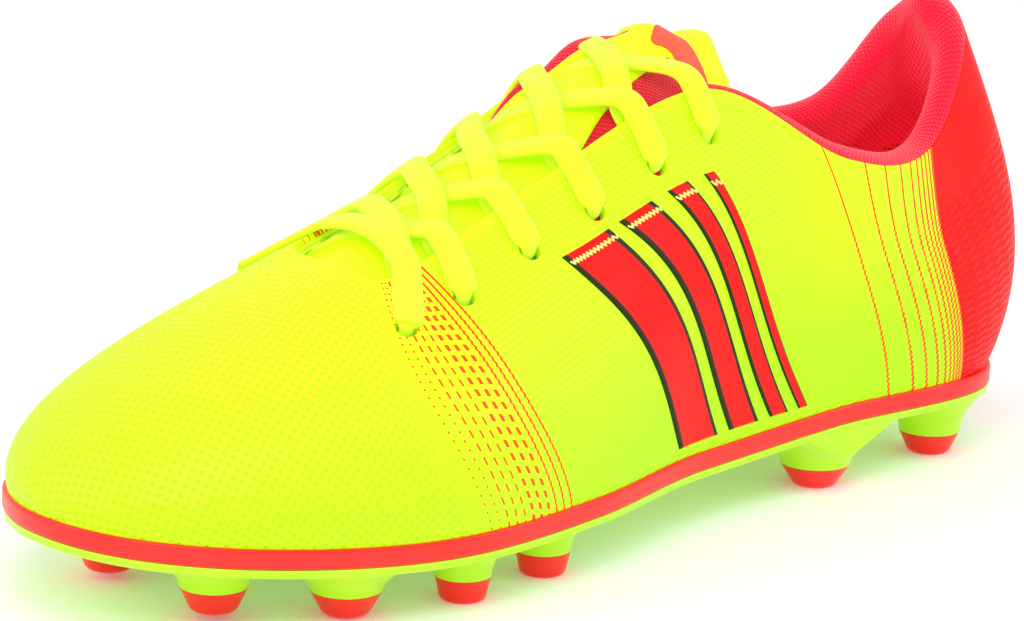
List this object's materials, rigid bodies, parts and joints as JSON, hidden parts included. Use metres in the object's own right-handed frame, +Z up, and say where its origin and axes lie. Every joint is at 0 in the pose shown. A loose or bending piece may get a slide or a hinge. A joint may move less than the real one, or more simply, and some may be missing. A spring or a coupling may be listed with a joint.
{
  "type": "soccer cleat",
  "caption": "Laced low-cut soccer cleat for the left foot, with a moulded studded sole, a padded collar and a padded tongue that folds at the top.",
  "frame": {"origin": "centre of the boot's footprint, on the ground that the studs stand on", "axes": "+X towards the toe, +Y towards the outer side of the left foot, +Z up"},
  "size_m": [0.2824, 0.1002, 0.1099],
  "materials": {
    "lime_plastic": "satin",
    "red_plastic": "satin",
    "board": "matte",
    "foam": "matte",
    "yellow_synthetic": "satin",
    "red_synthetic": "satin",
    "stiffener": "matte",
    "lining_textile": "matte",
    "red_mesh": "matte",
    "lace_textile": "matte",
    "clear_tag": "gloss"
  },
  "bodies": {
    "boot": {"outsole_plate": "lime_plastic", "sole_rim": "red_plastic", "lasting_board": "board", "sockliner_foam": "foam", "sockliner_cover": "red_mesh", "vamp": "yellow_synthetic", "quarter_outer": "yellow_synthetic", "quarter_inner": "yellow_synthetic", "heel_panel": "red_synthetic", "toe_puff": "stiffener", "heel_counter": "stiffener", "eyestay": "stiffener", "side_padding_outer": "foam", "side_padding_inner": "foam", "vamp_lining": "lining_textile", "heel_lining": "red_mesh", "collar_foam": "foam", "collar_lining": "red_mesh", "tongue_body": "red_mesh", "shoelace": "lace_textile", "aglet_outer": "clear_tag", "aglet_inner": "clear_tag", "side_bars_outer": "red_synthetic", "side_bars_inner": "red_synthetic", "tip_outer_front": "red_plastic", "tip_outer_second": "red_plastic", "tip_outer_third": "red_plastic", "tip_outer_fourth": "red_plastic", "tip_outer_heel_front": "red_plastic", "tip_outer_heel_back": "red_plastic", "tip_inner_front": "red_plastic", "tip_inner_second": "red_plastic", "tip_inner_third": "red_plastic", "tip_inner_fourth": "red_plastic", "tip_inner_heel_front": "red_plastic", "tip_inner_heel_back": "red_plastic"},
    "flap": {"tongue_flap": "red_mesh", "tongue_label": "red_synthetic"}
  },
  "joints": [
    {"name": "tongue_fold", "type": "hinge", "parent": "boot", "child": "flap", "pos_m": [-0.03171, -0.00533, 0.10395], "axis": [0, 1, 0], "range_deg": [-4, 50], "stiffness_Nm_per_rad": 0.01}
  ]
}
